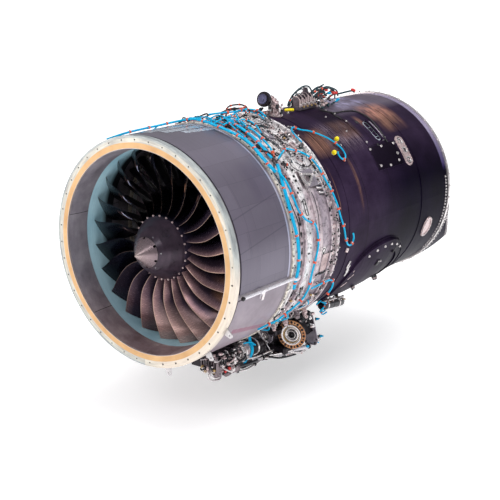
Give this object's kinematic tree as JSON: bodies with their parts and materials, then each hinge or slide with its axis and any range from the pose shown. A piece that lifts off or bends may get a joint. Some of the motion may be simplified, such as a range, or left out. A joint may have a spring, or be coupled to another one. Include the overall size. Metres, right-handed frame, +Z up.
{
  "type": "turbofan jet engine",
  "caption": "Turbofan aero engine with a wide-chord fan, a bolted inlet flange, a dark full-length bypass duct, an accessory gearbox below and wiring along the cases.",
  "frame": {"origin": "centre of the inlet flange's front face, on the engine axis", "axes": "+Y runs aft along the engine axis, the inlet faces -Y, +Z is up, the gearbox hangs on the -Z side"},
  "size_m": [1.56, 2.944, 1.8647],
  "materials": {
    "primed_alloy": "satin primer over machined alloy",
    "bare_alloy": "machined",
    "liner_grey": "satin, perforated",
    "strip_blue": "matt abradable filler",
    "case_alloy": "satin",
    "wrap_grey": "resin-sealed wrap",
    "panel_grey": "satin",
    "bright_steel": "bright",
    "titanium": "satin, polished leading edges",
    "cone_grey": "satin",
    "spinner_dark": "satin",
    "shaft_steel": "ground",
    "hot_alloy": "heat-stained",
    "composite_dark": "glossy dark composite",
    "cream_alloy": "satin",
    "pad_grey": "satin",
    "black_casting": "semi-gloss casting",
    "bronze_plate": "machined",
    "black_paint": "semi-gloss",
    "pump_alloy": "as cast",
    "yellow_plastic": "moulded",
    "harness_blue": "smooth sleeve",
    "clip_orange": "cushioned clip"
  },
  "bodies": {
    "engine": {"abradable_strip": "strip_blue", "access_cover": "composite_dark", "accessory_brackets": "bright_steel", "acoustic_liner": "liner_grey", "aft_flange": "bright_steel", "aft_skirts": "composite_dark", "bleed_valve": "black_paint", "bypass_duct": "composite_dark", "caps_and_plugs": "yellow_plastic", "combustor_case": "hot_alloy", "combustor_liner": "hot_alloy", "compressor_case": "bare_alloy", "containment_wrap": "wrap_grey", "control_box": "black_paint", "core_cowl": "composite_dark", "core_splitter": "bare_alloy", "cover_bolts": "bright_steel", "duct_ports": "bright_steel", "duct_rings": "composite_dark", "engine_mounts": "bright_steel", "exhaust_plug": "hot_alloy", "fan_case": "case_alloy", "flange_bolts": "bright_steel", "flange_lugs": "bare_alloy", "frame_struts": "bare_alloy", "fuel_pump": "pump_alloy", "gearbox_housing": "black_casting", "generators": "black_paint", "harness_clips": "clip_orange", "inlet_flange": "primed_alloy", "intermediate_case": "cream_alloy", "lower_panel": "panel_grey", "lower_tubes": "bright_steel", "mixer": "hot_alloy", "oil_cooler": "bare_alloy", "oil_tank": "bare_alloy", "outlet_grille": "composite_dark", "outlet_guide_vanes": "bare_alloy", "seam_tubes": "bright_steel", "service_pads": "pad_grey", "shaft_bearings": "shaft_steel", "side_scoop": "composite_dark", "starter_pad": "bronze_plate", "top_manifold": "pump_alloy", "top_pipes": "bright_steel", "turbine_case": "hot_alloy", "turbine_rear_frame": "hot_alloy", "wiring_harness": "harness_blue"},
    "fan_spool": {"fan_blades": "titanium", "fan_disk": "titanium", "spinner_cone": "cone_grey", "spinner_body": "spinner_dark", "fan_shaft": "shaft_steel", "fan_turbine": "hot_alloy"},
    "core_spool": {"core_compressor_drum": "shaft_steel", "core_compressor_blades": "titanium", "core_turbine": "hot_alloy"},
    "tower_shaft": {"tower_shaft": "shaft_steel"},
    "layshaft": {"layshaft": "shaft_steel"},
    "starter_coupling": {"starter_coupling": "shaft_steel"}
  },
  "joints": [
    {"name": "fan_spin", "type": "hinge", "parent": "engine", "child": "fan_spool", "pos_m": [0, 0.3, 0], "axis": [0, 1, 0], "continuous": true},
    {"name": "core_spin", "type": "hinge", "parent": "engine", "child": "core_spool", "pos_m": [0, 1, 0], "axis": [0, 1, 0], "continuous": true},
    {"name": "tower_spin", "type": "hinge", "parent": "engine", "child": "tower_shaft", "pos_m": [0, 0.59, -0.4], "axis": [0, 0, 1], "continuous": true},
    {"name": "layshaft_spin", "type": "hinge", "parent": "engine", "child": "layshaft", "pos_m": [0, 0.9, -0.842], "axis": [0, 1, 0], "continuous": true},
    {"name": "starter_spin", "type": "hinge", "parent": "engine", "child": "starter_coupling", "pos_m": [0.4, 1.03, -0.737], "axis": [0.2588, -0.9659, 0], "continuous": true}
  ],
  "couplings": [
    {"joint": "tower_spin", "follows": "core_spin", "ratio": 2.9333},
    {"joint": "layshaft_spin", "follows": "core_spin", "ratio": -2.0952},
    {"joint": "starter_spin", "follows": "core_spin", "ratio": 1.5714}
  ]
}
